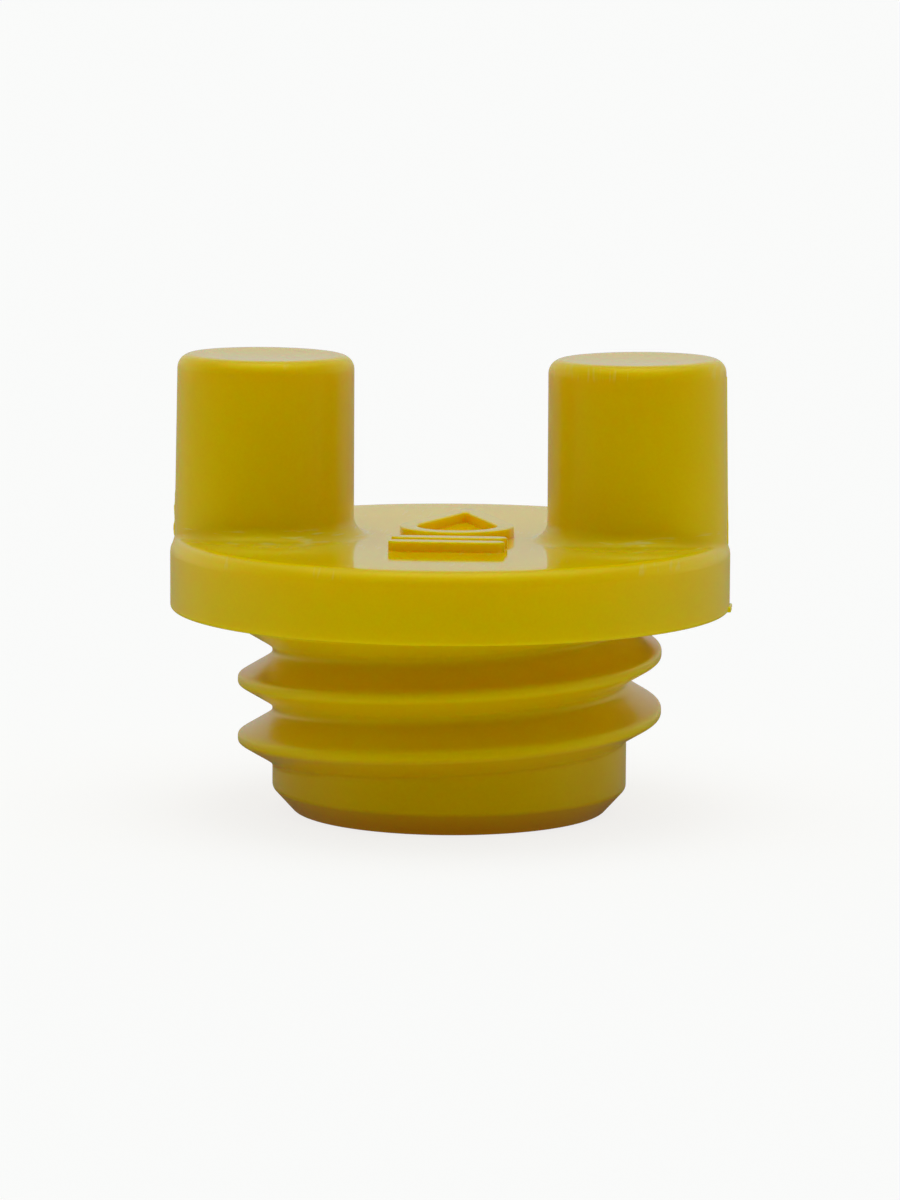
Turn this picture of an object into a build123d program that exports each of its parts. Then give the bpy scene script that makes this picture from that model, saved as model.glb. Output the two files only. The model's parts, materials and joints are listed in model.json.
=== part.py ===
from build123d import *

import math
import os

# A filler plug that is turned by hand: a thick round flange with two upright posts at its rim,
# and below it a hollow shank with a coarse right-hand thread and a plain nose. A rubber ring sits
# in a groove in the flange's underside and seals against the filler neck.
# The origin is on the plug's axis, in the plane of the flange's underside. +Z points to the posts,
# which stand on the X axis. Sizes are in millimetres, angles in degrees.

# Flange
FLANGE_RADIUS = 20.0
FLANGE_THICKNESS = 5.1
FLANGE_TOP_ROUND = 1.1
FLANGE_BOTTOM_ROUND = 0.25

# Gate vestige: the stub left on the flange's lower edge where the plastic entered the mould
GATE_PROUD = 0.2
GATE_WIDTH = 2.2
GATE_HEIGHT = 0.45

# Turning posts
POST_FOOT_RADIUS = 6.42
POST_CENTRE = 13.38
POST_TOP_HEIGHT = 17.95
POST_DRAFT = 0.5
POST_LEAN = 0.55
POST_TOP_ROUND = 1.0
POST_FOOT_ROUND = 1.2
POST_ROOT_DEPTH = 2.0

# Raised symbol between the posts: an outlined drop above two level bars
SYMBOL_HEIGHT = 0.62
SYMBOL_LINE = 1.25
SYMBOL_HALF_WIDTH = 4.1
SYMBOL_CENTRE_X = 0.4
DROP_CENTRE_Y = 0.9
DROP_TIP_Y = 11.0
BAR_CENTRES_Y = (-7.9, -5.5)

# Shank and nose
SHANK_RADIUS = 12.7
NOSE_END = -14.65
NOSE_CHAMFER = 1.6
CORE_RADIUS = 9.6
CORE_DRAFT = 0.75
CORE_FLOOR = 1.4
CORE_FLOOR_ROUND = 1.0

# Thread: single start, right hand, 60 degree flanks
THREAD_RADIUS = 15.18
THREAD_PITCH = 4.2
THREAD_CREST_FLAT = 0.72
THREAD_CREST_ROUND = 0.2
THREAD_FLANK_ANGLE = 30.0
THREAD_SINK = 0.25
THREAD_CREST_AT_X = -7.4
THREAD_END_ANGLE = -300.0
THREAD_TOP = 2.3

# Sealing ring and its groove
RING_SECTION = 1.78
GROOVE_INNER_RADIUS = 16.1
GROOVE_WIDTH = 2.1
GROOVE_DEPTH = 1.45


def spun(profile):
    """Solid of revolution about Z of a face drawn in the XZ plane."""
    return revolve(profile, Axis.Z)


def flange():
    """Round flange with a generous top round and a fine bottom one."""
    disc = Cylinder(FLANGE_RADIUS, FLANGE_THICKNESS, align=(Align.CENTER, Align.CENTER, Align.MIN))
    lower, upper = disc.edges().filter_by(GeomType.CIRCLE).sort_by(Axis.Z)
    disc = fillet(upper, FLANGE_TOP_ROUND)
    lower = disc.edges().filter_by(GeomType.CIRCLE).sort_by(Axis.Z)[0]
    return fillet(lower, FLANGE_BOTTOM_ROUND)


def gate_vestige():
    """Small stub on the flange's lower edge, on the +X side."""
    reach = FLANGE_RADIUS + GATE_PROUD
    stub = Cylinder(reach, GATE_HEIGHT, align=(Align.CENTER, Align.CENTER, Align.MIN))
    window = Pos(FLANGE_RADIUS, 0, 0) * Box(
        4 * FLANGE_BOTTOM_ROUND, GATE_WIDTH, GATE_HEIGHT, align=(Align.CENTER, Align.CENTER, Align.MIN)
    )
    return stub & window


def upright_post():
    """One post on its own axis, with its foot flared where it meets the flange."""
    height = POST_TOP_HEIGHT - FLANGE_THICKNESS
    top_radius = POST_FOOT_RADIUS - height * math.tan(math.radians(POST_DRAFT))
    flare_radius = POST_FOOT_RADIUS + POST_FOOT_ROUND
    shaft = spun(
        make_face(
            Plane.XZ
            * Polyline(
                (0, -POST_ROOT_DEPTH),
                (POST_FOOT_RADIUS, -POST_ROOT_DEPTH),
                (POST_FOOT_RADIUS, 0),
                (top_radius, height),
                (0, height),
                close=True,
            )
        )
    )
    shaft = fillet(shaft.edges().filter_by(GeomType.CIRCLE).sort_by(Axis.Z)[-1], POST_TOP_ROUND)
    bend = POST_FOOT_ROUND * (1 - math.sqrt(0.5))
    flare_outline = [
        Line((POST_FOOT_RADIUS - 1, -POST_ROOT_DEPTH), (flare_radius, -POST_ROOT_DEPTH)),
        Line((flare_radius, -POST_ROOT_DEPTH), (flare_radius, 0)),
        ThreePointArc(
            (flare_radius, 0),
            (POST_FOOT_RADIUS + bend, bend),
            (POST_FOOT_RADIUS, POST_FOOT_ROUND),
        ),
        Line((POST_FOOT_RADIUS, POST_FOOT_ROUND), (POST_FOOT_RADIUS - 1, POST_FOOT_ROUND)),
        Line((POST_FOOT_RADIUS - 1, POST_FOOT_ROUND), (POST_FOOT_RADIUS - 1, -POST_ROOT_DEPTH)),
    ]
    flare = spun(make_face(Plane.XZ * Curve(flare_outline)))
    return shaft + flare


def turning_posts():
    """Both posts, leaning slightly together, kept inside the reach of their own outer walls."""
    reach = POST_CENTRE + POST_FOOT_RADIUS
    envelope = Cylinder(reach, 4 * POST_TOP_HEIGHT)
    post = Pos(POST_CENTRE, 0, FLANGE_THICKNESS) * Rot(0, -POST_LEAN, 0) * upright_post()
    right = post & envelope
    return right + Rot(0, 0, 180) * right


def raised_symbol():
    """Outlined drop and two level bars, raised on the flange's top."""
    half = SYMBOL_HALF_WIDTH
    tip_gap = DROP_TIP_Y - DROP_CENTRE_Y
    touch = math.acos(half / tip_gap)
    side_x = half * math.sin(touch)
    side_y = half * math.cos(touch)
    outline = Curve(
        [
            ThreePointArc((-side_x, side_y), (0, -half), (side_x, side_y)),
            Line((side_x, side_y), (0, tip_gap)),
            Line((0, tip_gap), (-side_x, side_y)),
        ]
    )
    drop = make_face(outline)
    symbol = Pos(0, DROP_CENTRE_Y) * (drop - offset(drop, -SYMBOL_LINE))
    for bar_y in BAR_CENTRES_Y:
        symbol += Pos(0, bar_y) * RectangleRounded(2 * half, SYMBOL_LINE, SYMBOL_LINE / 3)
    sink = FLANGE_TOP_ROUND / 4
    return Pos(SYMBOL_CENTRE_X, 0, FLANGE_THICKNESS - sink) * extrude(symbol, SYMBOL_HEIGHT + sink)


def shank():
    """Plain round shank with the chamfered nose."""
    return spun(
        make_face(
            Plane.XZ
            * Polyline(
                (0, FLANGE_THICKNESS / 2),
                (SHANK_RADIUS, FLANGE_THICKNESS / 2),
                (SHANK_RADIUS, NOSE_END + NOSE_CHAMFER),
                (SHANK_RADIUS - NOSE_CHAMFER, NOSE_END),
                (0, NOSE_END),
                close=True,
            )
        )
    )


def crest_height(angle):
    """Height of the thread's crest at an angle about Z, counted from +X."""
    return THREAD_CREST_AT_X + THREAD_PITCH * angle / 360


def thread_ridge():
    """Helical ridge, run out into the shank at its lower end and into the flange at its top."""
    start = crest_height(THREAD_END_ANGLE)
    depth = THREAD_RADIUS - SHANK_RADIUS
    flank = depth * math.tan(math.radians(THREAD_FLANK_ANGLE))
    crest = THREAD_CREST_FLAT / 2
    sunk = THREAD_SINK * math.tan(math.radians(THREAD_FLANK_ANGLE))
    path = Helix(THREAD_PITCH, THREAD_TOP - start, SHANK_RADIUS)
    section_plane = Plane(origin=path @ 0, x_dir=(1, 0, 0), z_dir=path % 0)
    section = make_face(
        Polyline(
            (-THREAD_SINK, -crest - flank - sunk),
            (depth, -crest),
            (depth, crest),
            (-THREAD_SINK, crest + flank + sunk),
            close=True,
        )
    )
    outer_corners = section.vertices().sort_by(Axis.X)[-2:]
    section = fillet(outer_corners, THREAD_CREST_ROUND)
    ridge = sweep(section_plane * section, path=path, is_frenet=True)
    ridge = Pos(0, 0, start) * ridge
    fade_cut = Pos(SHANK_RADIUS, -1, start) * Box(
        THREAD_RADIUS,
        THREAD_RADIUS,
        THREAD_PITCH,
        align=(Align.MIN, Align.MIN, Align.CENTER),
    )
    return Rot(0, 0, THREAD_END_ANGLE) * (ridge - fade_cut)


def core():
    """The moulded hollow inside the shank, open at the nose and slightly tapered."""
    length = CORE_FLOOR - NOSE_END
    floor_radius = CORE_RADIUS - length * math.tan(math.radians(CORE_DRAFT))
    hollow = spun(
        make_face(
            Plane.XZ
            * Polyline(
                (0, CORE_FLOOR),
                (floor_radius, CORE_FLOOR),
                (CORE_RADIUS, NOSE_END),
                (0, NOSE_END),
                close=True,
            )
        )
    )
    floor_edge = hollow.edges().filter_by(GeomType.CIRCLE).sort_by(Axis.Z)[-1]
    return fillet(floor_edge, CORE_FLOOR_ROUND)


def ring_groove():
    """Square groove in the flange's underside."""
    outer = Cylinder(
        GROOVE_INNER_RADIUS + GROOVE_WIDTH, GROOVE_DEPTH, align=(Align.CENTER, Align.CENTER, Align.MIN)
    )
    inner = Cylinder(GROOVE_INNER_RADIUS, GROOVE_DEPTH, align=(Align.CENTER, Align.CENTER, Align.MIN))
    return outer - inner


def plug_body():
    """The whole moulding."""
    head = flange() + gate_vestige() + turning_posts() + raised_symbol()
    return head + (shank() + thread_ridge()) - core() - ring_groove()


def sealing_ring():
    """Round-section rubber ring, standing on the groove's floor against its inner wall."""
    section = RING_SECTION / 2
    middle = GROOVE_INNER_RADIUS + section
    return Pos(0, 0, GROOVE_DEPTH - section) * Torus(middle, section)


def main():
    os.makedirs("parts", exist_ok=True)
    for name, make in {"plug_body": plug_body, "sealing_ring": sealing_ring}.items():
        export_step(make(), f"parts/{name}.step")


main()
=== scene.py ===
"""Looks of a hand-turned filler plug: a glossy yellow moulding with two upright posts and a coarse
thread, its rubber sealing ring, a pale floor, soft light and the camera. Lengths are in metres."""

import json
import logging
import math
from dataclasses import dataclass, field
from enum import Enum
from typing import Any

import bmesh
import bpy
import numpy as np
from mathutils import Matrix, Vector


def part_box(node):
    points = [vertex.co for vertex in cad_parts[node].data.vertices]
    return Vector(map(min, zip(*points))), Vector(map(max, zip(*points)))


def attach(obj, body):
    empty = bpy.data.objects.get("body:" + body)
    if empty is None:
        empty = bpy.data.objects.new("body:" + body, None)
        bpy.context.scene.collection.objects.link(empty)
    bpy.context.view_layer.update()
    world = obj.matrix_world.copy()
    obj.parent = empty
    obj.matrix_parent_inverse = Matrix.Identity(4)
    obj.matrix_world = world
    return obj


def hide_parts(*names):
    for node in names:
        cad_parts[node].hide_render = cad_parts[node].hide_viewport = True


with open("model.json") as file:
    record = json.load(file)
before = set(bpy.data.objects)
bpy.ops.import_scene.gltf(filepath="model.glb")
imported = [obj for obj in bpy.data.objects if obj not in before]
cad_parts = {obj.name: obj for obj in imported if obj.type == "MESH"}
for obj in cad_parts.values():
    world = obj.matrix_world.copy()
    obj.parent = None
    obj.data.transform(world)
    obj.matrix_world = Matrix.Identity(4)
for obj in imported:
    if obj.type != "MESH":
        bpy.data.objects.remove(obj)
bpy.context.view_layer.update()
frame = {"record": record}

LOG = logging.getLogger("filler_plug")
MM = 0.001
BODY = "root"
SEED = 7
PLUG_LOW, PLUG_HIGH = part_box("plug_body")
RING_LOW, RING_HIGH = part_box("sealing_ring")
MOUNTS = {mount["name"]: mount for mount in frame["record"]["mounts"]}
FLANGE_RADIUS = PLUG_HIGH.y
THREAD_RADIUS = MOUNTS["thread"]["dims"]["r_mm"] * MM
HAIR = 1e-9
LOFT_MERGE = 0.0005 * MM
Values = dict[str | int, Any]
Colour = tuple[float, float, float, float]
Triple = tuple[float, float, float]
Step = tuple[float, ...]


class Side(Enum):
    """Which end of the X axis a post stands on, as its turn about Z in degrees."""

    GATE = 0
    PLAIN = 180


# ---- node trees written as expressions


class Wire:
    """One output socket of a node tree, with Python arithmetic on it."""

    def __init__(self, sheet: "Sheet", socket: bpy.types.NodeSocket) -> None:
        """Keeps the socket and the sheet that it is on.

        Args:
            sheet: The sheet that new nodes go on.
            socket: The output socket.
        """
        self.sheet = sheet
        self.socket = socket

    def math(self, operation: str, *operands: "Wire | float") -> "Wire":
        """Adds one Math node.

        Args:
            operation: The Math node's operation.
            operands: Its inputs, in order.

        Returns:
            The node's output.
        """
        return self.sheet.add("ShaderNodeMath", {"operation": operation}, dict(enumerate(operands)))

    def __add__(self, other: "Wire | float") -> "Wire":
        """self + other."""
        return self.math("ADD", self, other)

    def __mul__(self, other: "Wire | float") -> "Wire":
        """self * other."""
        return self.math("MULTIPLY", self, other)

    def __sub__(self, other: "Wire | float") -> "Wire":
        """self - other."""
        return self.math("SUBTRACT", self, other)

    def __truediv__(self, other: "Wire | float") -> "Wire":
        """self / other."""
        return self.math("DIVIDE", self, other)

    def __pow__(self, other: "Wire | float") -> "Wire":
        """self ** other."""
        return self.math("POWER", self, other)

    def above(self, edge: "Wire | float") -> "Wire":
        """1 where self is greater than edge, else 0."""
        return self.math("GREATER_THAN", self, edge)

    def below(self, edge: "Wire | float") -> "Wire":
        """1 where self is less than edge, else 0."""
        return self.math("LESS_THAN", self, edge)

    def step(
        self, low: "Wire | float", high: "Wire | float", out_low: float = 0.0, out_high: float = 1.0
    ) -> "Wire":
        """Smooth step of self from one range to another.

        Args:
            low: Where the step starts.
            high: Where the step ends.
            out_low: The value before it.
            out_high: The value after it.

        Returns:
            The stepped value.
        """
        return self.sheet.add(
            "ShaderNodeMapRange",
            {"interpolation_type": "SMOOTHSTEP"},
            {"Value": self, "From Min": low, "From Max": high, "To Min": out_low, "To Max": out_high},
        )


class Sheet:
    """A node tree that is filled by one method."""

    def __init__(self, tree: bpy.types.NodeTree) -> None:
        """Empties the tree and keeps it.

        Args:
            tree: A shader or geometry node tree.
        """
        self.tree = tree
        tree.nodes.clear()

    def add(
        self,
        kind: str,
        settings: Values | None = None,
        inputs: Values | None = None,
        output: str | int = 0,
    ) -> Wire:
        """Adds any node.

        Args:
            kind: The node's type.
            settings: Its properties, set before its inputs.
            inputs: Values or wires for its sockets, by identifier, name or number.
            output: The output to return.

        Returns:
            That output.
        """
        node = self.tree.nodes.new(kind)
        for name, value in (settings or {}).items():
            setattr(node, name, value)
        for key, value in (inputs or {}).items():
            socket = self._socket(node.inputs, key)
            if isinstance(value, Wire):
                self.tree.links.new(value.socket, socket)
            else:
                socket.default_value = value
        return Wire(self, self._socket(node.outputs, output)) if node.outputs else Wire(self, None)

    def finish(self, kind: str, inputs: Values) -> None:
        """Ends a material's nodes with one shader."""
        self.add("ShaderNodeOutputMaterial", None, {"Surface": self.add(kind, None, inputs)})

    def stretch(self, place: Wire, by: Triple) -> Wire:
        """A place with each of its three numbers multiplied."""
        return self.point(*(number * factor for number, factor in zip(self.axes(place), by)))

    def point(self, x: Wire | float, y: Wire | float, z: Wire | float) -> Wire:
        """The vector of three numbers."""
        return self.add("ShaderNodeCombineXYZ", None, {"X": x, "Y": y, "Z": z})

    def axes(self, vector: Wire) -> tuple[Wire, Wire, Wire]:
        """The three numbers of a vector."""
        x = self.add("ShaderNodeSeparateXYZ", None, {"Vector": vector}, "X")
        outputs = x.socket.node.outputs
        return x, Wire(self, outputs["Y"]), Wire(self, outputs["Z"])

    def noise(self, place: Wire, size: float, detail: float = 2.0, seed: float = 0.0) -> Wire:
        """Noise of about 0 to 1.

        Args:
            place: Where it is read.
            size: The width of one blotch.
            detail: How many finer layers it has.
            seed: Which noise it is.

        Returns:
            The noise.
        """
        return self.add(
            "ShaderNodeTexNoise",
            {"noise_dimensions": "4D"},
            {"Vector": place, "W": seed, "Scale": 1 / size, "Detail": detail},
        )

    def blend(self, share: Wire, first: Any, second: Any) -> Wire:
        """Mixes two colours.

        Args:
            share: How much of the second there is.
            first: A colour or a wire.
            second: A colour or a wire.

        Returns:
            The mixed colour.
        """
        colours = {"Factor_Float": share, "A_Color": first, "B_Color": second}
        return self.add("ShaderNodeMix", {"data_type": "RGBA"}, colours, "Result_Color")

    @staticmethod
    def _socket(sockets: Any, key: str | int) -> bpy.types.NodeSocket:
        """The socket with that number, identifier or name."""
        if isinstance(key, int):
            return sockets[key]
        return next((s for s in sockets if s.identifier == key), None) or sockets[key]


class Recipe:
    """A geometry node tree with named sizes, which turns a starting mesh into a finished one."""

    def __init__(self, name: str, sizes: dict[str, float], material: bpy.types.Material) -> None:
        """Makes the empty tree and its inputs.

        Args:
            name: The tree's name.
            sizes: The named inputs and their values.
            material: The finish that the result wears.
        """
        self.tree = bpy.data.node_groups.new(name, "GeometryNodeTree")
        self.sheet = Sheet(self.tree)
        self.material = material
        self.sizes = sizes
        new = self.tree.interface.new_socket
        new("Geometry", in_out="INPUT", socket_type="NodeSocketGeometry")
        self.keys = {
            size: new(size, in_out="INPUT", socket_type="NodeSocketFloat").identifier for size in sizes
        }
        new("Geometry", in_out="OUTPUT", socket_type="NodeSocketGeometry")
        self.entry = self.tree.nodes.new("NodeGroupInput")

    def start(self) -> Wire:
        """The starting mesh."""
        return Wire(self.sheet, self.entry.outputs[0])

    def size(self, name: str) -> Wire:
        """One named input."""
        return Wire(self.sheet, self.entry.outputs[name])

    def circle(self, points: int, radius: Wire | float) -> Wire:
        """A circle round the origin."""
        inputs = {"Resolution": points, "Radius": radius}
        return self.sheet.add("GeometryNodeCurvePrimitiveCircle", {"mode": "RADIUS"}, inputs)

    def turned(self, profile: Wire, segments: int, radius: Wire) -> Wire:
        """A profile carried once round Z.

        Args:
            profile: The curve that is carried.
            segments: How many steps the turn has.
            radius: The radius that the profile's origin travels on.

        Returns:
            The skin.
        """
        circle = {"Curve": self.circle(segments, radius)}
        upright = self.sheet.add("GeometryNodeSetCurveNormal", {"mode": "Z_UP"}, circle)
        path = {"Curve": upright, "Profile Curve": profile}
        return self.sheet.add("GeometryNodeCurveToMesh", None, path)

    def run(self, result: Wire, start: bpy.types.Mesh) -> bpy.types.Mesh:
        """Ends the tree, runs it on a mesh and takes the plain result.

        Args:
            result: The geometry that the tree makes.
            start: The mesh that it starts from.

        Returns:
            The finished mesh, with no modifier left.
        """
        add = self.sheet.add
        real = add("GeometryNodeRealizeInstances", None, {"Geometry": result})
        dressed = add("GeometryNodeSetMaterial", None, {"Geometry": real, "Material": self.material})
        exit_node = self.tree.nodes.new("NodeGroupOutput")
        self.tree.links.new(dressed.socket, exit_node.inputs[0])
        maker = bpy.data.objects.new(self.tree.name, start)
        modifier = maker.modifiers.new("recipe", "NODES")
        modifier.node_group = self.tree
        for size, key in self.keys.items():
            modifier[key] = self.sizes[size]
        return settled(maker)


# ---- mesh work


def turn(degrees: float, axis: str = "Z") -> Matrix:
    """A turn about an axis."""
    return Matrix.Rotation(math.radians(degrees), 4, axis)


def in_scene(name: str, data: Any) -> bpy.types.Object:
    """A new object, linked to the scene."""
    made = bpy.data.objects.new(name, data)
    bpy.context.scene.collection.objects.link(made)
    return made


def blank_material(name: str) -> tuple[bpy.types.Material, Sheet]:
    """A new material and its empty nodes."""
    material = bpy.data.materials.new(name)
    material.use_nodes = True
    return material, Sheet(material.node_tree)


def settled(maker: bpy.types.Object) -> bpy.types.Mesh:
    """Evaluates an object's modifiers and removes the object.

    Args:
        maker: An object that isn't linked to the scene.

    Returns:
        Its plain mesh.
    """
    bpy.context.scene.collection.objects.link(maker)
    graph = bpy.context.evaluated_depsgraph_get()
    mesh = bpy.data.meshes.new_from_object(maker.evaluated_get(graph), depsgraph=graph)
    bpy.data.objects.remove(maker)
    return mesh


def outward(mesh: bpy.types.Mesh, merge: float = 0.0) -> bpy.types.Mesh:
    """Turns a closed mesh's faces outwards.

    Args:
        mesh: The mesh.
        merge: Corners nearer than this become one, if it isn't 0.

    Returns:
        The same mesh.
    """
    skin = bmesh.new()
    skin.from_mesh(mesh)
    if merge:
        bmesh.ops.remove_doubles(skin, verts=skin.verts, dist=merge)
    bmesh.ops.recalc_face_normals(skin, faces=skin.faces)
    skin.to_mesh(mesh)
    skin.free()
    return mesh


def loft(name: str, rings: list[np.ndarray], hollow: bool = False) -> bpy.types.Mesh:
    """Closed skin over rings of points.

    Args:
        name: The mesh's name.
        rings: Rings with the same number of points. The first and last may be shrunk to one place.
        hollow: The last ring joins the first one, as on a tube bent into a loop.

    Returns:
        The skin, with its faces outwards.
    """
    columns = len(rings[0])
    skin = bmesh.new()
    rows = [[skin.verts.new(place) for place in ring] for ring in rings]
    pairs = list(zip(rows, rows[1:])) + ([(rows[-1], rows[0])] if hollow else [])
    for one, other in pairs:
        for i in range(columns):
            j = (i + 1) % columns
            skin.faces.new((one[i], one[j], other[j], other[i]))
    bmesh.ops.remove_doubles(skin, verts=skin.verts, dist=LOFT_MERGE)
    bmesh.ops.recalc_face_normals(skin, faces=skin.faces)
    mesh = bpy.data.meshes.new(name)
    skin.to_mesh(mesh)
    skin.free()
    return mesh


def oval(large: float, small: float, spacing: float, columns: int) -> np.ndarray:
    """Outline round two circles on the Y axis: a drop, or a bar with round ends.

    Args:
        large: The radius of the circle at the origin.
        small: The radius of the other circle.
        spacing: How far along +Y the other circle is.
        columns: How many points there are, an even number.

    Returns:
        The points in the XY plane, anticlockwise.
    """
    touch = math.asin((large - small) / spacing)
    lower = np.linspace(math.pi - touch, 2 * math.pi + touch, columns // 2)
    upper = np.linspace(touch, math.pi - touch, columns // 2)
    low = np.stack([large * np.cos(lower), large * np.sin(lower)], 1)
    high = np.stack([small * np.cos(upper), spacing + small * np.sin(upper)], 1)
    return np.concatenate([low, high])


def welded(name: str, base: bpy.types.Mesh, others: list[bpy.types.Mesh]) -> bpy.types.Mesh:
    """Joins closed shells into one skin.

    Args:
        name: The new mesh's name.
        base: The main shell.
        others: The shells that run into it.

    Returns:
        One closed mesh, with no walls left inside.
    """
    maker = bpy.data.objects.new(name, base)
    tools = [in_scene(mesh.name, mesh) for mesh in others]
    for tool in tools:
        weld = maker.modifiers.new(tool.name, "BOOLEAN")
        weld.operation = "UNION"
        weld.solver = "MANIFOLD"
        weld.object = tool
    mesh = settled(maker)
    for tool in tools:
        bpy.data.objects.remove(tool)
    mesh.name = name
    return mesh


def polished(mesh: bpy.types.Mesh, crease: float) -> bpy.types.Mesh:
    """Smooths the shading between creases, with flat faces kept flat.

    Args:
        mesh: The mesh.
        crease: The angle in degrees past which an edge looks sharp.

    Returns:
        The mesh with its own normals.
    """
    mesh.polygons.foreach_set("use_smooth", [True] * len(mesh.polygons))
    mesh.set_sharp_from_angle(angle=math.radians(crease))
    maker = bpy.data.objects.new(mesh.name, mesh)
    weights = maker.modifiers.new("weights", "WEIGHTED_NORMAL")
    weights.mode = "FACE_AREA"
    weights.keep_sharp = True
    return settled(maker)


def show(
    name: str, mesh: bpy.types.Mesh, material: bpy.types.Material, node: str
) -> bpy.types.Object:
    """Puts a finished mesh in the scene in a CAD node's place.

    Args:
        name: The piece's name.
        mesh: Its mesh.
        material: Its finish.
        node: The CAD node that it stands for.

    Returns:
        The piece.
    """
    mesh.materials.clear()
    mesh.materials.append(material)
    mesh.polygons.foreach_set("material_index", [0] * len(mesh.polygons))
    piece = in_scene(name, mesh)
    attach(piece, BODY)
    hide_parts(node)
    LOG.info("%s: %d faces, stands for %s", name, len(mesh.polygons), node)
    return piece


# ---- finishes


@dataclass(frozen=True)
class GlossyPlastic:
    """Saturated yellow moulded plastic: polished on level faces, a little duller on its walls.

    It lets some light in, so thin ridges glow. The mould's tool marks show on its rounded edges as
    bumps, and their paler colour is a painted highlight.
    A Step is where something starts and ends, then its level before and after, if not 0 and 1.
    """

    colour: Colour = (0.90, 0.67, 0.0, 1.0)
    deep: Colour = (0.87, 0.625, 0.0, 1.0)
    # painted highlight: the pale colour that the tool marks' streaks and dashes are blended towards
    painted_highlight: Colour = (0.95, 0.84, 0.34, 1.0)
    sheen_tint: Colour = (1.0, 1.0, 0.0, 1.0)
    glow_reach: Triple = (1.0, 0.28, 0.02)
    glow_scale: float = 3.5 * MM
    glow_share: float = 0.85
    refraction: float = 1.52
    polish: float = 0.045
    wall_roughness: float = 0.24
    unevenness: float = 0.04
    cloud: float = 7.0 * MM
    peel: float = 1.4 * MM
    grain: float = 0.2 * MM
    streak: float = 0.55 * MM
    chatter: float = 0.5 * MM
    cluster: float = 5.0 * MM
    cloud_depth: float = 0.007 * MM
    peel_depth: float = 0.0006 * MM
    grain_depth: float = 0.00012 * MM
    mark_depth: float = 0.009 * MM
    painted_highlight_share: float = 0.5
    dash_strength: float = 0.3
    post_centre: float = 13.38 * MM
    foot_height: float = 5.5 * MM
    foot_band: float = 0.75 * MM
    rim_height: float = 4.75 * MM
    rim_band: float = 0.6 * MM
    post_edge_height: float = 17.3 * MM
    post_edge_band: float = 0.7 * MM
    band_core: float = 0.35
    streak_stretch: Triple = (0.25, 0.25, 2.2)
    chatter_stretch: Triple = (1.5, 0.2, 0.2)
    near_post: Step = (7.3 * MM, 8.6 * MM, 1.0, 0.0)
    streaks: Step = (0.56, 0.76)
    dashes: Step = (0.52, 0.68)
    clusters: Step = (0.5, 0.6)
    level: Step = (0.80, 0.985, 1.0, 0.0)
    tones: Step = (0.3, 0.7)

    def band(self, height: Wire, middle: float, reach: float) -> Wire:
        """How near a height is to the middle of a level band.

        Args:
            height: The height of the point.
            middle: The height of the band's middle.
            reach: How far the band fades out on each side.

        Returns:
            1 in the middle and 0 outside.
        """
        gap = height - middle
        return gap.math("ABSOLUTE", gap).step(self.band_core * reach, reach, 1.0, 0.0)

    def tool_marks_and_highlights(self, sheet: Sheet, place: Wire) -> Wire:
        """Where the mould's tool marks are, which also carry a painted highlight: streaks round the
        posts' feet and dashes on the edges.

        Args:
            sheet: The material's nodes.
            place: Where they are read.

        Returns:
            1 on a mark and 0 elsewhere.
        """
        x, y, z = sheet.axes(place)
        aside = x.math("ABSOLUTE", x) - self.post_centre
        near_post = ((aside * aside + y * y) ** 0.5).step(*self.near_post)
        foot = self.band(z, self.foot_height, self.foot_band)
        rim = self.band(z, self.rim_height, self.rim_band)
        post_edge = self.band(z, self.post_edge_height, self.post_edge_band)
        streak = sheet.noise(sheet.stretch(place, self.streak_stretch), self.streak, 2.0, seed=7.0)
        chatter = sheet.noise(sheet.stretch(place, self.chatter_stretch), self.chatter, 1.0, seed=9.0)
        cluster = sheet.noise(place, self.cluster, 1.0, seed=11.0).step(*self.clusters)
        dashes = chatter.step(*self.dashes) * (rim + post_edge) * cluster * self.dash_strength
        return streak.step(*self.streaks) * foot * near_post + dashes

    def relief(self, sheet: Sheet, place: Wire, marks: Wire) -> Wire:
        """The surface's fine shape.

        Args:
            sheet: The material's nodes.
            place: Where it is read.
            marks: Where the tool marks are.

        Returns:
            The bumped normal.
        """
        cloud = sheet.noise(place, self.cloud, 2.0, seed=1.0)
        peel = sheet.noise(place, self.peel, 2.0, seed=3.0)
        grain = sheet.noise(place, self.grain, 2.0, seed=5.0)
        fine = cloud * self.cloud_depth + peel * self.peel_depth + grain * self.grain_depth
        height = fine + marks * self.mark_depth
        return sheet.add("ShaderNodeBump", None, {"Strength": 1.0, "Distance": 1.0, "Height": height})

    def build(self) -> bpy.types.Material:
        """Makes the material.

        Returns:
            The yellow plastic.
        """
        material, sheet = blank_material("yellow_plastic")
        place = sheet.add("ShaderNodeTexCoord", output="Object")
        upward = sheet.axes(sheet.add("ShaderNodeNewGeometry", output="Normal"))[2]
        wall = upward.math("ABSOLUTE", upward).step(*self.level)
        cloud = sheet.noise(place, self.cloud, 3.0)
        speck = sheet.noise(place, self.grain, 3.0, seed=5.0)
        tone = cloud.step(*self.tones) * 0.5 + speck.step(*self.tones) * 0.5
        marks = self.tool_marks_and_highlights(sheet, place)
        plastic = sheet.blend(tone, self.deep, self.colour)
        duller = wall * (self.wall_roughness - self.polish)
        sheet.finish(
            "ShaderNodeBsdfPrincipled",
            {
                # painted highlight: base colour paled along the tool marks' streaks and dashes; their
                # bump below is the real tool mark
                "Base Color": sheet.blend(marks * self.painted_highlight_share, plastic, self.painted_highlight),
                "Roughness": duller + speck * self.unevenness + self.polish,
                "IOR": self.refraction,
                "Specular Tint": self.sheen_tint,
                "Subsurface Weight": self.glow_share,
                "Subsurface Radius": self.glow_reach,
                "Subsurface Scale": self.glow_scale,
                "Normal": self.relief(sheet, place, marks),
            },
        )
        return material


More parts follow.
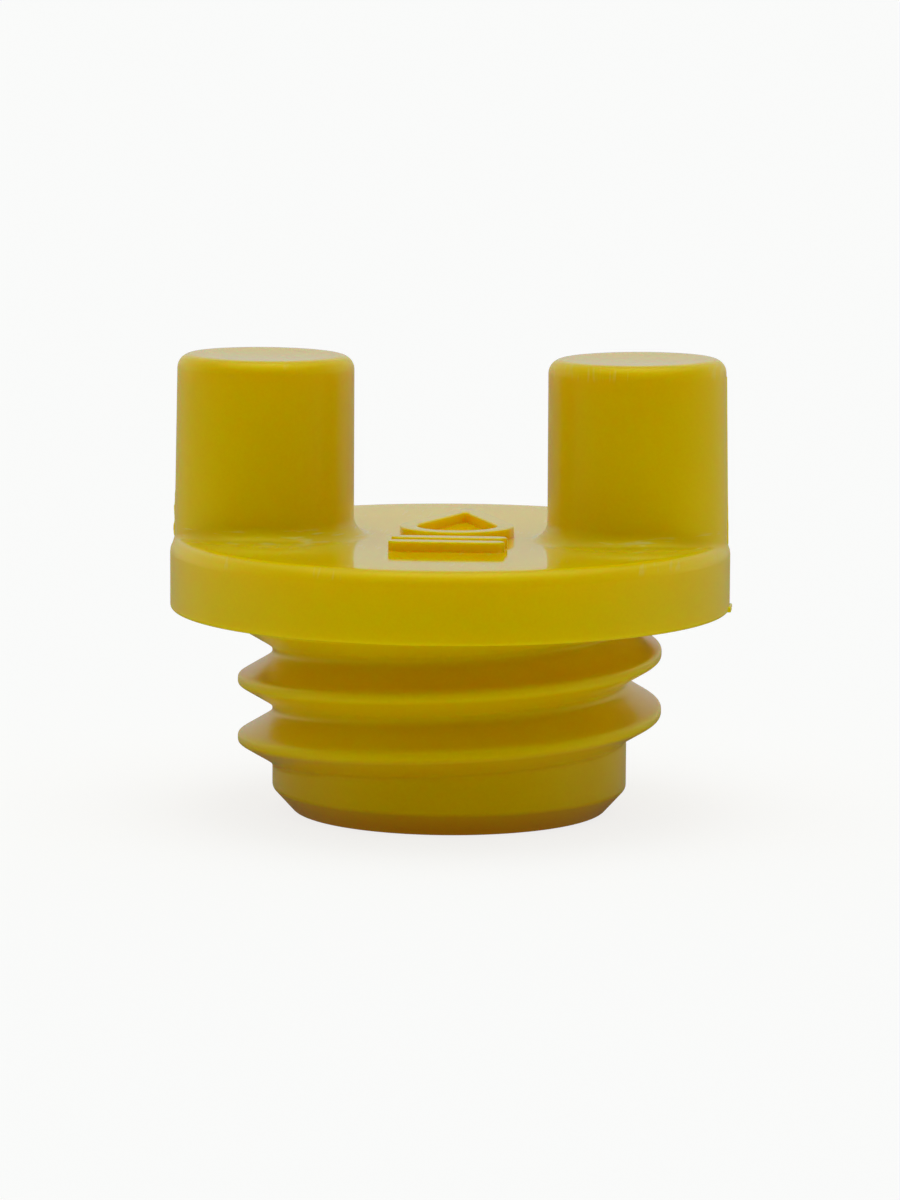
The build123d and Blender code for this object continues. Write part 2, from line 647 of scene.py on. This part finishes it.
@dataclass(frozen=True)
class SealRubber:
    """Black nitrile rubber, satin, with a light bloom."""

    colour: Colour = (0.018, 0.018, 0.019, 1.0)
    bloom: Colour = (0.05, 0.05, 0.052, 1.0)
    blooms: Step = (0.45, 0.7)
    roughness: float = 0.48
    unevenness: float = 0.1
    blotch: float = 2.5 * MM
    grain: float = 0.12 * MM
    grain_depth: float = 0.003 * MM

    def build(self) -> bpy.types.Material:
        """Makes the material.

        Returns:
            The black rubber.
        """
        material, sheet = blank_material("black_rubber")
        place = sheet.add("ShaderNodeTexCoord", output="Object")
        grain = sheet.noise(place, self.grain, 3.0)
        bloom = sheet.noise(place, self.blotch, 4.0, seed=2.0)
        bump = {"Strength": 1.0, "Distance": 1.0, "Height": grain * self.grain_depth}
        relief = sheet.add("ShaderNodeBump", None, bump)
        sheet.finish(
            "ShaderNodeBsdfPrincipled",
            {
                "Base Color": sheet.blend(bloom.step(*self.blooms), self.colour, self.bloom),
                "Roughness": grain * self.unevenness + self.roughness,
                "Normal": relief,
            },
        )
        return material


# ---- the moulding


@dataclass(frozen=True)
class TurnedBody:
    """Flange, ring groove, threaded shank, nose and hollow core: everything that is round about Z."""

    segments: int = 224
    arc_steps: int = 6
    flange_thickness: float = 5.1 * MM
    rim_round: float = 1.1 * MM
    lower_round: float = 0.25 * MM
    sink: float = 0.14 * MM
    sink_steps: int = 14
    groove_inner: float = 16.1 * MM
    groove_width: float = 2.1 * MM
    groove_depth: float = 1.45 * MM
    groove_round: float = 0.15 * MM
    shank_radius: float = 12.7 * MM
    shank_step: float = 0.075 * MM
    threaded_to: float = -12.6 * MM
    chamfer_start: float = -12.95 * MM
    nose_round: float = 0.5 * MM
    nose_radius: float = 11.15 * MM
    mouth_radius: float = 9.6 * MM
    core_draft: float = 0.75
    core_floor: float = 1.4 * MM
    core_round: float = 1.0 * MM
    pitch: float = 4.2 * MM
    crest_at_x: float = -7.4 * MM
    crest_flat: float = 0.72 * MM
    flank: float = 1.46 * MM
    crest_round: float = 0.55 * MM
    root_round: float = 0.65 * MM
    first_turn: float = -300 / 360
    fade_turns: float = 0.13
    slack: float = 0.01 * MM
    merge: float = 0.001 * MM

    def rim_centre(self) -> float:
        """Radius of the circle that the rim's round is drawn about."""
        return FLANGE_RADIUS - self.rim_round

    def dip(self, radius: np.ndarray | float) -> np.ndarray | float:
        """How far the flange's top has sunk at a radius, as thick mouldings do."""
        inside = np.minimum(radius / self.rim_centre(), 1.0)
        return self.sink * (1 - inside**2) ** 2

    def outline(self) -> list[tuple[float, float, float]]:
        """The half section from the top's centre round to the core's centre.

        Returns:
            Its corners as radius, height and rounding.
        """
        top = self.flange_thickness
        groove_outer = self.groove_inner + self.groove_width
        nose = PLUG_LOW.z
        narrowing = (self.core_floor - nose) * math.tan(math.radians(self.core_draft))
        dished = np.linspace(0.0, self.rim_centre(), self.sink_steps)[:-1]
        corners = [(r, top - self.dip(r), 0.0) for r in dished]
        corners += [
            (FLANGE_RADIUS, top, self.rim_round),
            (FLANGE_RADIUS, 0.0, self.lower_round),
            (groove_outer, 0.0, self.groove_round),
            (groove_outer, self.groove_depth, self.groove_round),
            (self.groove_inner, self.groove_depth, self.groove_round),
            (self.groove_inner, 0.0, self.groove_round),
        ]
        rows = round(-self.threaded_to / self.shank_step)
        corners += [(self.shank_radius, z, 0.0) for z in np.linspace(0.0, self.threaded_to, rows)]
        corners += [
            (self.shank_radius, self.chamfer_start, self.nose_round),
            (self.nose_radius, nose, self.nose_round),
            (self.mouth_radius, nose, self.groove_round),
            (self.mouth_radius - narrowing, self.core_floor, self.core_round),
            (0.0, self.core_floor, 0.0),
        ]
        return corners

    def thread(self, recipe: Recipe, place: Wire) -> Wire:
        """How far each point of the shank stands out.

        Args:
            recipe: The tree that it goes in.
            place: The point's position.

        Returns:
            The outward offset as a vector.
        """
        sheet, size = recipe.sheet, recipe.size
        x, y, z = sheet.axes(place)
        radius = (x * x + y * y) ** 0.5
        bearing = y.math("ARCTAN2", y, x) / (2 * math.pi)
        turns_up = (z - size("Crest at X")) / size("Pitch") - bearing
        nearest = turns_up.math("ROUND", turns_up)
        aside = turns_up.math("ABSOLUTE", turns_up - nearest) * size("Pitch")
        depth = size("Thread radius") - size("Shank radius")
        ramp = (size("Crest flat") / 2 + size("Flank") - aside) * depth / size("Flank")
        crest = ramp.math("SMOOTH_MIN", ramp, depth, size("Crest round"))
        ridge = crest.math("SMOOTH_MAX", crest, 0.0, size("Root round"))
        started = (nearest + bearing).step(size("First turn"), size("First turn") + size("Fade turns"))
        on_shank = (
            radius.above(size("Shank radius") - self.slack)
            * radius.below(size("Shank radius") + self.slack)
            * z.below(self.slack)
            * z.above(size("Threaded to") - self.slack)
        )
        lift = ridge * started * on_shank / radius.math("MAXIMUM", radius, MM)
        return sheet.point(x * lift, y * lift, 0.0)

    def build(self, material: bpy.types.Material) -> bpy.types.Mesh:
        """Turns the outline about Z and raises the thread.

        Args:
            material: The plastic.

        Returns:
            The closed mesh.
        """
        corners = self.outline()
        section = bpy.data.meshes.new("half_section")
        edges = [(i, i + 1) for i in range(len(corners) - 1)]
        section.from_pydata([(r - FLANGE_RADIUS, -z, 0.0) for r, z, _ in corners], edges, [])
        roundings = section.attributes.new("rounding", "FLOAT", "POINT")
        roundings.data.foreach_set("value", [rounding for _, _, rounding in corners])
        recipe = Recipe(
            "turned_body",
            {
                "Turning radius": FLANGE_RADIUS,
                "Thread radius": THREAD_RADIUS,
                "Shank radius": self.shank_radius,
                "Pitch": self.pitch,
                "Crest at X": self.crest_at_x,
                "Crest flat": self.crest_flat,
                "Flank": self.flank,
                "Crest round": self.crest_round,
                "Root round": self.root_round,
                "First turn": self.first_turn,
                "Fade turns": self.fade_turns,
                "Threaded to": self.threaded_to,
            },
            material,
        )
        add = recipe.sheet.add
        radii = add("GeometryNodeInputNamedAttribute", {"data_type": "FLOAT"}, {"Name": "rounding"})
        drawn = add("GeometryNodeMeshToCurve", None, {"Mesh": recipe.start()})
        rounded = add(
            "GeometryNodeFilletCurve",
            {"mode": "POLY"},
            {"Curve": drawn, "Count": self.arc_steps, "Radius": radii, "Limit Radius": True},
        )
        turned = recipe.turned(rounded, self.segments, recipe.size("Turning radius"))
        closed = add("GeometryNodeMergeByDistance", None, {"Geometry": turned, "Distance": self.merge})
        place = add("GeometryNodeInputPosition")
        ridge = self.thread(recipe, place)
        threaded = add("GeometryNodeSetPosition", None, {"Geometry": closed, "Offset": ridge})
        return recipe.run(threaded, section)


@dataclass(frozen=True)
class TurningPost:
    """One upright post, leaning a little inwards, with a foot that flows into the flange."""

    body: TurnedBody
    side: Side
    columns: int = 144
    foot_radius: float = 6.42 * MM
    centre: float = 13.38 * MM
    top: float = 17.95 * MM
    draft: float = 0.5
    lean: float = 0.55
    top_round: float = 1.0 * MM
    top_sink: float = 0.10 * MM
    widest_foot: float = 1.35 * MM
    narrowest_foot: float = 0.22 * MM
    weld_depth: float = 0.012 * MM
    root_depth: float = 1.5 * MM
    root_taper: float = 0.5 * MM
    foot_room: float = 3.5 * MM
    foot_bias: float = 0.25
    top_rings: int = 7
    edge_rings: int = 9
    wall_rings: int = 18
    foot_rings: int = 10

    def spread(
        self, height: np.ndarray | float, out: np.ndarray | float
    ) -> tuple[np.ndarray, np.ndarray]:
        """Points round the post.

        Args:
            height: Their height over the flange.
            out: How far they stand off the wall.

        Returns:
            X and Y of one ring.
        """
        round_about = np.linspace(0, 2 * math.pi, self.columns, endpoint=False)
        radius = self.foot_radius - height * math.tan(math.radians(self.draft)) + out
        axis = self.centre - height * math.tan(math.radians(self.lean))
        return axis + radius * np.cos(round_about), radius * np.sin(round_about)

    def ring(self, height: np.ndarray | float, out: np.ndarray | float) -> np.ndarray:
        """One ring of the shaft, tipped with the lean.

        Args:
            height: Its height over the flange.
            out: How far it stands off the wall.

        Returns:
            Its points.
        """
        x, y = self.spread(height, out)
        full = self.top - self.body.flange_thickness
        tip = (x - self.centre) * math.tan(math.radians(self.lean)) * np.maximum(height, 0) / full
        return np.stack([x, y, self.body.flange_thickness + height + tip], 1)

    def on_flange(self, x: np.ndarray, y: np.ndarray, lift: np.ndarray) -> np.ndarray:
        """Points a given distance over the flange's top and its rounded rim.

        Args:
            x: Where they are along X.
            y: Where they are along Y.
            lift: How far over the surface they are.

        Returns:
            The points.
        """
        body = self.body
        radius = np.hypot(x, y)
        pull = np.minimum(1.0, (body.rim_centre() + body.rim_round + lift) / radius)
        radius = radius * pull
        over = np.maximum(radius - body.rim_centre(), 0.0)
        rise = np.sqrt(np.maximum((body.rim_round + lift) ** 2 - over**2, 0.0))
        z = body.flange_thickness - body.rim_round + rise - body.dip(radius)
        return np.stack([x * pull, y * pull, z], 1)

    def build(self) -> bpy.types.Mesh:
        """Makes the post.

        Returns:
            Its closed mesh, in place.
        """
        full = self.top - self.body.flange_thickness
        wall_x, wall_y = self.spread(0.0, 0.0)
        room = (self.body.rim_centre() - np.hypot(wall_x, wall_y)) / self.foot_room
        share = np.clip(room + self.foot_bias, 0, 1)
        eased = share**2 * (3 - 2 * share)
        foot = self.narrowest_foot + (self.widest_foot - self.narrowest_foot) * eased
        edge_in = self.foot_radius - self.top_round - full * math.tan(math.radians(self.draft))
        rings = []
        for part in np.linspace(0, 1, self.top_rings)[:-1]:
            out = (part - 1) * edge_in - self.top_round
            rings.append(self.ring(full - self.top_sink * (1 - part**2), out))
        for bend in np.linspace(0, math.pi / 2, self.edge_rings):
            drop = self.top_round * (1 - math.cos(bend))
            rings.append(self.ring(full - drop, self.top_round * (math.sin(bend) - 1)))
        wall_top = full - self.top_round
        for part in np.linspace(0, 1, self.wall_rings)[1:-1]:
            rings.append(self.ring(wall_top + (foot - wall_top) * part, 0.0))
        for bend in np.linspace(0, math.pi / 2, self.foot_rings):
            lift = foot * (1 - math.sin(bend))
            x, y = self.spread(lift, foot * (1 - math.cos(bend)))
            rings.append(self.on_flange(x, y, lift - self.weld_depth * math.sin(bend) ** 4))
        rings.append(self.ring(-self.root_depth, -self.root_taper))
        rings.append(self.ring(-self.root_depth, -self.foot_radius))
        for pole in (0, -1):
            rings[pole] = np.tile(rings[pole].mean(0), (self.columns, 1))
        mesh = loft(f"post_{self.side.name.lower()}", rings)
        mesh.transform(turn(self.side.value))
        return mesh


@dataclass(frozen=True)
class RaisedSymbol:
    """Outlined drop over two level bars, raised between the posts."""

    body: TurnedBody
    columns: int = 72
    height: float = 0.62 * MM
    line: float = 1.25 * MM
    half_width: float = 4.1 * MM
    tip_radius: float = 0.75 * MM
    centre_x: float = 0.4 * MM
    drop_y: float = 0.9 * MM
    drop_length: float = 10.1 * MM
    bars_y: tuple[float, float] = (-7.9 * MM, -5.5 * MM)
    edge_round: float = 0.12 * MM
    root: float = 0.5 * MM
    hole_tip: float = 0.25 * MM
    edge_steps: int = 5

    def walls(self) -> list[tuple[float, float]]:
        """Section of a raised edge.

        Returns:
            How far in from the outline each of its corners is, and how high.
        """
        top = self.body.flange_thickness + self.height
        bends = np.linspace(0, math.pi / 2, self.edge_steps)
        rounded = [
            (self.edge_round * (1 - math.cos(bend)), top - self.edge_round * (1 - math.sin(bend)))
            for bend in bends
        ]
        return [(0.0, self.body.flange_thickness - self.root)] + rounded

    def placed(self, outline: np.ndarray, z: float, x: float, y: float) -> np.ndarray:
        """An outline moved to its place on the flange."""
        return np.column_stack([outline[:, 0] + x, outline[:, 1] + y, np.full(len(outline), z)])

    def drop(self) -> bpy.types.Mesh:
        """Makes the outlined drop.

        Returns:
            Its mesh.
        """
        spacing = self.drop_length - self.tip_radius
        slope = (self.half_width - self.tip_radius) / spacing
        hole_large = self.half_width - self.line

        def loop(inset: float) -> np.ndarray:
            """The outer outline, moved in."""
            return oval(self.half_width - inset, self.tip_radius - inset, spacing, self.columns)

        def hole(inset: float) -> np.ndarray:
            """The inner outline, moved towards the plastic."""
            gap = (hole_large - self.hole_tip) / slope
            return oval(hole_large + inset, self.hole_tip + inset, gap, self.columns)

        walls = self.walls()
        x, y = self.centre_x, self.drop_y
        rings = [self.placed(loop(inset), z, x, y) for inset, z in walls]
        rings += [self.placed(hole(inset), z, x, y) for inset, z in reversed(walls)]
        return loft("symbol_drop", rings, hollow=True)

    def bar(self, number: int, y: float) -> bpy.types.Mesh:
        """One level bar.

        Args:
            number: Which bar it is.
            y: Where its middle line is.

        Returns:
            Its mesh.
        """
        radius = self.line / 2
        spacing = 2 * (self.half_width - radius)
        rings = []
        for inset, z in self.walls():
            outline = oval(radius - inset, radius - inset - HAIR, spacing, self.columns)
            level = np.stack([outline[:, 1] - spacing / 2, -outline[:, 0]], 1)
            rings.append(self.placed(level, z, self.centre_x, y))
        ends = [ring.copy() for ring in (rings[0], rings[-1])]
        for ring in ends:
            ring[:, 1] = y
            from_centre = ring[:, 0] - self.centre_x
            ring[:, 0] = self.centre_x + from_centre * (spacing / (spacing + 2 * radius))
        return loft(f"symbol_bar_{number}", [ends[0], *rings, ends[1]])

    def build(self) -> list[bpy.types.Mesh]:
        """Makes the drop and the bars."""
        return [self.drop()] + [self.bar(i, y) for i, y in enumerate(self.bars_y)]


@dataclass(frozen=True)
class MouldMarks:
    """What the mould left: the gate's stub and a thin flash line on the posts' outer walls.

    A gate ring is how far past the flange it is, in millimetres, and its size as a share.
    """

    body: TurnedBody
    post: TurningPost
    gate_width: float = 2.2 * MM
    gate_height: float = 0.45 * MM
    gate_columns: int = 32
    torn_beyond: float = 0.1
    gate_rings: tuple[tuple[float, float], ...] = (
        (-0.8, 0.0),
        (-0.8, 1.0),
        (0.1, 0.96),
        (0.17, 0.8),
        (0.12, 0.5),
        (0.15, 0.0),
    )
    tear: float = 0.06 * MM
    flash_points: int = 220
    flash_sides: int = 10
    flash_thickness: float = 0.05 * MM
    flash_aside: float = 0.017 * MM
    flash_swell: float = 0.13 * MM
    faint_swell: float = 0.03 * MM
    flash_wave: float = 1.7 * MM
    flash_foot: float = 0.3 * MM
    flash_stop: float = 1.2 * MM
    swollen_to: float = 1.5 * MM
    swell_ends: float = 4.5 * MM
    swellings: Step = (0.42, 0.72)
    merge: float = 0.0001 * MM

    def gate(self) -> bpy.types.Mesh:
        """The stub of plastic on the flange's lower edge, with its torn end.

        Returns:
            Its mesh.
        """
        radius = self.gate_height / 2
        spacing = self.gate_width - self.gate_height
        outline = oval(radius, radius - HAIR, spacing, self.gate_columns)
        rough = np.random.default_rng(SEED).uniform(0.0, self.tear, len(outline))
        rings = []
        for x, scale in self.gate_rings:
            torn = rough * (x > self.torn_beyond and scale > 0)
            y = (outline[:, 1] - spacing / 2) * scale
            z = radius + outline[:, 0] * scale
            rings.append(np.column_stack([FLANGE_RADIUS + x * MM - torn, y, z]))
        return loft("gate_stub", rings)

    def flash(self, side: Side, material: bpy.types.Material) -> bpy.types.Mesh:
        """A wavy thread of flash down a post's outer wall.

        Args:
            side: The post that it is on.
            material: The plastic.

        Returns:
            Its closed mesh.
        """
        line = bpy.data.meshes.new("flash_line")
        flange_top = self.body.flange_thickness
        lowest, highest = flange_top - self.flash_foot, self.post.top - self.flash_stop
        heights = np.linspace(lowest, highest, self.flash_points)
        over = heights - flange_top
        lean = math.tan(math.radians(self.post.lean)) + math.tan(math.radians(self.post.draft))
        reach = self.post.centre + self.post.foot_radius - over * lean
        places = [(x, self.flash_aside, z) for x, z in zip(reach, heights)]
        line.from_pydata(places, [(i, i + 1) for i in range(len(places) - 1)], [])
        line.transform(turn(side.value))
        most = self.flash_swell if side is Side.PLAIN else self.faint_swell
        sizes = {"Thickness": self.flash_thickness, "Swell": most, "Wave": self.flash_wave}
        recipe = Recipe(f"flash_{side.name.lower()}", sizes, material)
        add = recipe.sheet.add
        curve = add("GeometryNodeMeshToCurve", None, {"Mesh": recipe.start()})
        place = add("GeometryNodeInputPosition")
        wave = recipe.sheet.noise(place, self.flash_wave, 3.0, SEED + side.value)
        height = recipe.sheet.axes(place)[2]
        low_down = height.step(flange_top + self.swollen_to, flange_top + self.swell_ends, 1.0, 0.0)
        swell = wave.step(*self.swellings) * low_down * recipe.size("Swell") + recipe.size("Thickness")
        profile = recipe.circle(self.flash_sides, 1.0)
        sweep = {"Curve": curve, "Profile Curve": profile, "Scale": swell, "Fill Caps": True}
        swept = add("GeometryNodeCurveToMesh", None, sweep)
        return outward(recipe.run(swept, line), self.merge)


@dataclass(frozen=True)
class PlugMoulding:
    """The one-piece yellow moulding."""

    body: TurnedBody = field(default_factory=TurnedBody)
    crease: float = 34.0

    def build(self, material: bpy.types.Material) -> bpy.types.Object:
        """Makes the whole moulding as one skin.

        Args:
            material: The plastic.

        Returns:
            The piece that stands for the CAD's plug body.
        """
        posts = [TurningPost(self.body, side) for side in Side]
        marks = MouldMarks(self.body, posts[0])
        shells = [post.build() for post in posts]
        shells += RaisedSymbol(self.body).build()
        shells += [marks.gate()] + [marks.flash(side, material) for side in Side]
        base = self.body.build(material)
        mesh = polished(welded("plug_body_moulding", base, shells), self.crease)
        return show("plug_body_moulding", mesh, material, "plug_body")


@dataclass(frozen=True)
class SealingRing:
    """Round-section rubber ring with the fine line of its mould."""

    segments: int = 192
    around: int = 32
    line_height: float = 0.02 * MM
    line_reach: float = 2.0

    def build(self, material: bpy.types.Material) -> bpy.types.Object:
        """Sweeps the ring's section round its groove.

        Args:
            material: The rubber.

        Returns:
            The piece that stands for the CAD's ring.
        """
        section = (RING_HIGH.z - RING_LOW.z) / 2 - self.line_height
        middle = RING_HIGH.y - (RING_HIGH.z - RING_LOW.z) / 2
        start = bpy.data.meshes.new("ring_start")
        sizes = {"Middle radius": middle, "Section radius": section, "Line height": self.line_height}
        recipe = Recipe("sealing_ring", sizes, material)
        add = recipe.sheet.add
        profile = recipe.circle(self.around, recipe.size("Section radius"))
        across, along, _ = recipe.sheet.axes(add("GeometryNodeInputPosition"))
        near_line = along.math("ABSOLUTE", along).below(recipe.size("Line height") * self.line_reach)
        proud = across.math("SIGN", across) * near_line * recipe.size("Line height")
        shift = recipe.sheet.point(proud, 0.0, 0.0)
        lined = add("GeometryNodeSetPosition", None, {"Geometry": profile, "Offset": shift})
        mesh = recipe.run(recipe.turned(lined, self.segments, recipe.size("Middle radius")), start)
        mesh.transform(Matrix.Translation((0, 0, (RING_HIGH.z + RING_LOW.z) / 2)))
        outward(mesh)
        mesh.polygons.foreach_set("use_smooth", [True] * len(mesh.polygons))
        return show("sealing_ring_rubber", mesh, material, "sealing_ring")


# ---- the studio


@dataclass(frozen=True)
class Studio:
    """Pale floor, soft light and the camera.

    A Step is as in GlossyPlastic. The bounce's Steps are in metres from the axis, and the room's
    in the parts of a direction: across, away from the camera, or up.
    """

    distance: float = 393.7 * MM
    lens: float = 165.0
    sensor: float = 36.0
    elevation: float = 7.95
    azimuth: float = 4.9
    roll: float = 0.29
    aim_height: float = 0.445 * MM
    nearest: float = 10 * MM
    floor_radius: float = 12.0
    floor_sides: int = 96
    floor_colour: Colour = (0.22, 0.22, 0.22, 1.0)
    floor_roughness: float = 0.9
    floor_glow: float = 0.8
    # painted shadow: the hidden bounce disc glows dim and warm near the axis, standing in for the
    # table's shade under the plug and the yellow light it throws back
    bounce_drop: float = 0.1 * MM
    bounce_under: Colour = (0.2, 0.1, 0.02, 1.0)
    bounce_bright: Colour = (0.86, 0.86, 0.86, 1.0)
    bounce_far: Colour = (0.38, 0.38, 0.38, 1.0)
    bounce_rise: Step = (12 * MM, 36 * MM)
    bounce_fall: Step = (60 * MM, 160 * MM)
    side_across: Step = (0.6, 1.0)
    side_foot: Step = (-0.3, 0.1)
    side_top: Step = (0.2, 0.7, 0.22, 0.0)
    wall_behind: Step = (-0.35, 0.75)
    wall_foot: Step = (-0.3, 0.08)
    wall_top: Step = (0.3, 0.7, 0.5, 0.3)
    table_front: Step = (-0.6, 0.4, 0.8, 0.0)
    table_edge: Step = (-0.12, 0.0, 1.0, 0.0)
    table_foot: Step = (-0.95, -0.5)
    ceiling: Step = (0.1, 0.8)
    ceiling_level: float = 0.07
    skylight: Step = (0.92, 0.98)
    skylight_level: float = 1.2
    room_level: float = 0.08
    lamp_power: float = 1.05
    lamp_colour: Triple = (0.92, 1.0, 0.9)
    lamp_spread: float = 75.0
    lamp_tilt: float = 9.0

    def place_camera(self) -> None:
        """Makes the camera."""
        data = bpy.data.cameras.new("camera")
        data.lens = self.lens
        data.sensor_width = self.sensor
        data.clip_start = self.nearest
        camera = in_scene("camera", data)
        facing = turn(self.azimuth) @ turn(90 - self.elevation, "X")
        aim = Matrix.Translation((0, 0, self.aim_height))
        away = Matrix.Translation((0, 0, self.distance))
        camera.matrix_world = aim @ facing @ away @ turn(self.roll)
        bpy.context.scene.camera = camera

    def disc(self, name: str, height: float) -> tuple[bpy.types.Object, Sheet]:
        """Lays a round sheet of paper.

        Args:
            name: Its name.
            height: How high it lies.

        Returns:
            The sheet and the nodes of its material.
        """
        mesh = bpy.data.meshes.new(name)
        shape = bmesh.new()
        bmesh.ops.create_circle(
            shape, cap_ends=True, segments=self.floor_sides, radius=self.floor_radius
        )
        bmesh.ops.translate(shape, verts=shape.verts, vec=(0, 0, height))
        shape.to_mesh(mesh)
        shape.free()
        paper = in_scene(name, mesh)
        material, sheet = blank_material(f"{name}_paper")
        material.cycles.emission_sampling = "NONE"
        mesh.materials.append(material)
        return paper, sheet

    def lay_floor(self) -> None:
        """Lays the floor that is seen, and under it an unseen disc that lights the object from below."""
        floor, sheet = self.disc("floor", PLUG_LOW.z)
        surface = {
            "Base Color": self.floor_colour,
            "Roughness": self.floor_roughness,
            "Specular IOR Level": 0.0,
            "Emission Color": (1, 1, 1, 1),
            "Emission Strength": self.floor_glow,
        }
        sheet.finish("ShaderNodeBsdfPrincipled", surface)
        floor.visible_glossy = False
        floor.visible_diffuse = False
        floor.visible_shadow = False
        bounce, sheet = self.disc("floor_bounce", PLUG_LOW.z - self.bounce_drop)
        x, y, _ = sheet.axes(sheet.add("ShaderNodeTexCoord", output="Object"))
        away = (x * x + y * y) ** 0.5
        lit = sheet.blend(away.step(*self.bounce_fall), self.bounce_bright, self.bounce_far)
        # painted shadow: dim, warm middle for the table's shade under the plug, brightening outwards
        colour = sheet.blend(away.step(*self.bounce_rise), self.bounce_under, lit)
        sheet.finish("ShaderNodeEmission", {"Color": colour, "Strength": 1.0})
        bounce.visible_camera = False
        bounce.visible_glossy = False

    def light(self) -> None:
        """Lights the room: bright behind, at the sides and above, dim in front, with a broad lamp."""
        world = bpy.data.worlds.new("soft_room")
        bpy.context.scene.world = world
        world.use_nodes = True
        sheet = Sheet(world.node_tree)
        x, y, z = sheet.axes(sheet.add("ShaderNodeTexCoord", output="Generated"))
        turned = math.radians(self.azimuth)
        behind = x * -math.sin(turned) + y * math.cos(turned)
        beside = x * math.cos(turned) + y * math.sin(turned)
        across = beside.math("ABSOLUTE", beside).step(*self.side_across)
        sides = across * z.step(*self.side_foot) * z.step(*self.side_top)
        wall = behind.step(*self.wall_behind) * z.step(*self.wall_foot) * z.step(*self.wall_top)
        table = behind.step(*self.table_front) * z.step(*self.table_edge) * z.step(*self.table_foot)
        ceiling = z.step(*self.ceiling) * self.ceiling_level
        room = ceiling + z.step(*self.skylight) * self.skylight_level + self.room_level
        level = wall + sides + table + room
        glow = sheet.add("ShaderNodeBackground", None, {"Color": (1, 1, 1, 1), "Strength": level})
        sheet.add("ShaderNodeOutputWorld", None, {"Surface": glow})
        lamp = bpy.data.lights.new("overhead", "SUN")
        lamp.energy = self.lamp_power
        lamp.color = self.lamp_colour
        lamp.angle = math.radians(self.lamp_spread)
        in_scene("overhead", lamp).matrix_world = turn(self.azimuth) @ turn(self.lamp_tilt, "X")


def main() -> None:
    """Builds everything and reports it."""
    logging.basicConfig(level=logging.INFO)
    bpy.context.scene.view_settings.view_transform = "Standard"
    studio = Studio()
    studio.place_camera()
    studio.lay_floor()
    studio.light()
    PlugMoulding().build(GlossyPlastic().build())
    SealingRing().build(SealRubber().build())


if __name__ == "__main__":
    main()
